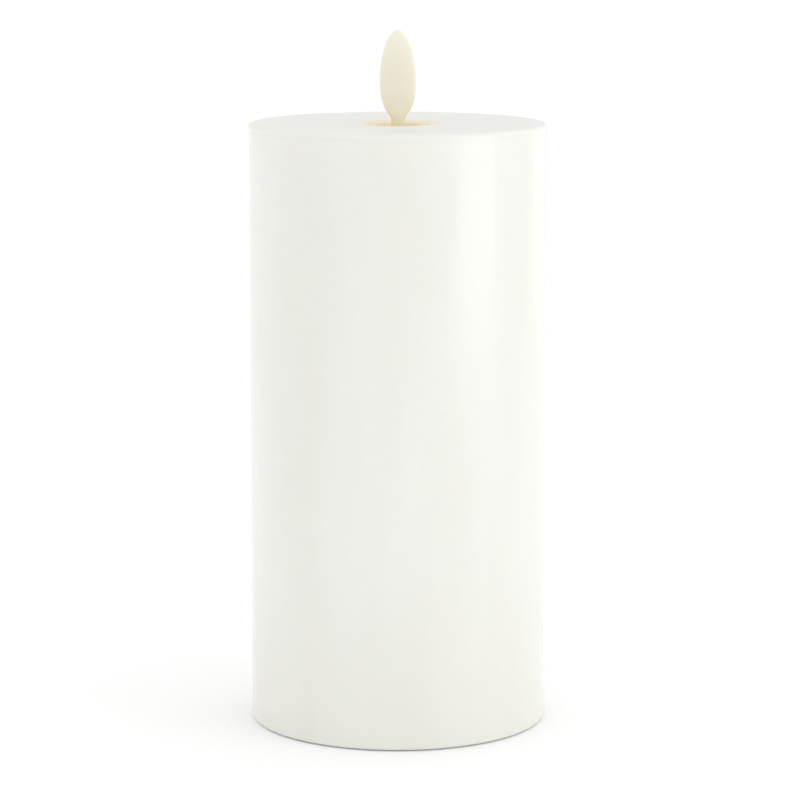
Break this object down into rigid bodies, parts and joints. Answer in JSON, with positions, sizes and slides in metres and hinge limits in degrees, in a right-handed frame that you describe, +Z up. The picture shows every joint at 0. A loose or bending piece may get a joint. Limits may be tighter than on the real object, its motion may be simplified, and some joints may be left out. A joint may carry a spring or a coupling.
{
  "type": "flameless led candle",
  "caption": "Battery pillar candle: hollow ivory wax shell round a moulded core, with a swaying flame blade, a hinged battery door and a slide switch underneath.",
  "frame": {"origin": "centre of the footprint, on the surface that the feet stand on", "axes": "+Z up along the candle's axis to the flame's tip; -Y is the front, which the flame's broad face and the lamp's window face; +X to the right"},
  "size_m": [0.1, 0.1, 0.2339],
  "materials": {
    "wax": "smooth semi-gloss ivory paraffin wax",
    "flame_plastic": "translucent warm-white moulded plastic",
    "cup_plastic": "satin beige plastic",
    "core_plastic": "satin off-white moulded plastic",
    "base_plastic": "fine-textured ivory plastic",
    "black_plastic": "satin black plastic",
    "capacitor_sleeve": "dark sleeve on an aluminium can",
    "steel": "zinc-plated steel",
    "nickel": "bright nickel plate",
    "copper": "enamelled copper wire",
    "led_epoxy": "clear warm epoxy",
    "board": "green solder mask",
    "ferrite": "dark ferrite",
    "cell_jacket": "steel can in a dark printed film",
    "red_lead": "red wire insulation",
    "black_lead": "black wire insulation",
    "white_lead": "white wire insulation",
    "pad_rubber": "soft pale rubber"
  },
  "bodies": {
    "candle": {"wax_shell": "wax", "flame_cup": "cup_plastic", "pivot_wire": "steel", "core_shell_front": "core_plastic", "core_shell_back": "core_plastic", "shell_screw_1": "steel", "shell_screw_2": "steel", "shell_screw_3": "steel", "shell_screw_4": "steel", "coil_bobbin": "black_plastic", "coil_winding": "copper", "lamp_led": "led_epoxy", "led_holder": "black_plastic", "driver_board": "board", "controller_chip": "black_plastic", "storage_capacitor": "capacitor_sleeve", "boost_inductor": "ferrite", "board_screw_1": "steel", "board_screw_2": "steel", "battery_box": "core_plastic", "chassis_screw_1": "steel", "chassis_screw_2": "steel", "chassis_screw_3": "steel", "chassis_screw_4": "steel", "battery_nub_up": "cell_jacket", "battery_nub_down": "cell_jacket", "contact_plate_positive": "nickel", "contact_plate_negative": "nickel", "contact_spring": "nickel", "base_plate": "base_plastic", "base_screw_1": "steel", "base_screw_2": "steel", "base_screw_3": "steel", "base_screw_4": "steel", "switch_body": "steel", "lead_positive": "red_lead", "lead_negative": "black_lead", "lead_switched": "white_lead", "led_lead_1": "black_lead", "led_lead_2": "red_lead", "coil_lead_1": "copper", "coil_lead_2": "copper", "foot_pad_1": "pad_rubber", "foot_pad_2": "pad_rubber", "foot_pad_3": "pad_rubber", "foot_pad_4": "pad_rubber"},
    "flame": {"flame": "flame_plastic", "flame_magnet": "nickel"},
    "door": {"battery_door": "base_plastic", "bridge_plate": "nickel", "bridge_spring": "nickel"},
    "switch_knob": {"switch_knob": "black_plastic"}
  },
  "joints": [
    {"name": "flame_sway", "type": "hinge", "parent": "candle", "child": "flame", "pos_m": [0, 0, 0.186], "axis": [0, 1, 0], "range_deg": [-10, 10]},
    {"name": "door_hinge", "type": "hinge", "parent": "candle", "child": "door", "pos_m": [0, 0.0226, 0.0032], "axis": [1, 0, 0], "range_deg": [0, 110]},
    {"name": "switch_slide", "type": "slide", "parent": "candle", "child": "switch_knob", "axis": [1, 0, 0], "range_m": [-0.002, 0.002]}
  ]
}
